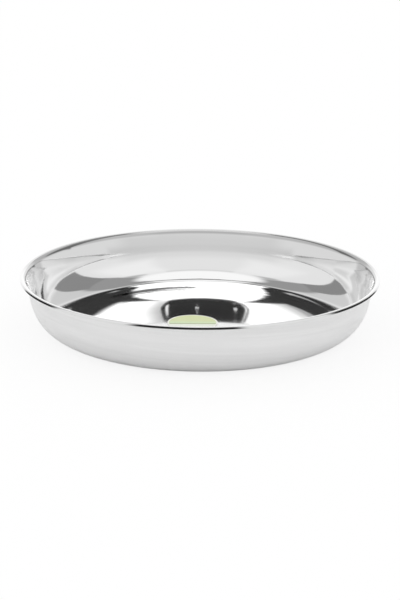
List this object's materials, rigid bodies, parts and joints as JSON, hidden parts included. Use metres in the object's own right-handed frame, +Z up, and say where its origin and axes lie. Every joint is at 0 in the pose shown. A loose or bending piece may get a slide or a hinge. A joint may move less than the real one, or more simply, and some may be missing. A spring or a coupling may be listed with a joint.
{
  "type": "deep dinner plate",
  "caption": "Deep round dinner plate drawn from one steel sheet, with a flat base, a steep wall that leans out again to a narrow lip with a rolled edge, and a round paper label inside.",
  "frame": {"origin": "middle of the base's underside, on the surface that the plate stands on", "axes": "+Z up along the axis of the round plate, +Y towards the back of the pictured view"},
  "size_m": [0.28, 0.28, 0.0436],
  "materials": {
    "polished_steel": "bright polished stainless steel",
    "label_glue": "clear dried label glue",
    "label_paper": "coated printed paper"
  },
  "bodies": {
    "root": {"plate_shell": "polished_steel", "label_adhesive": "label_glue", "paper_label": "label_paper"}
  },
  "joints": []
}
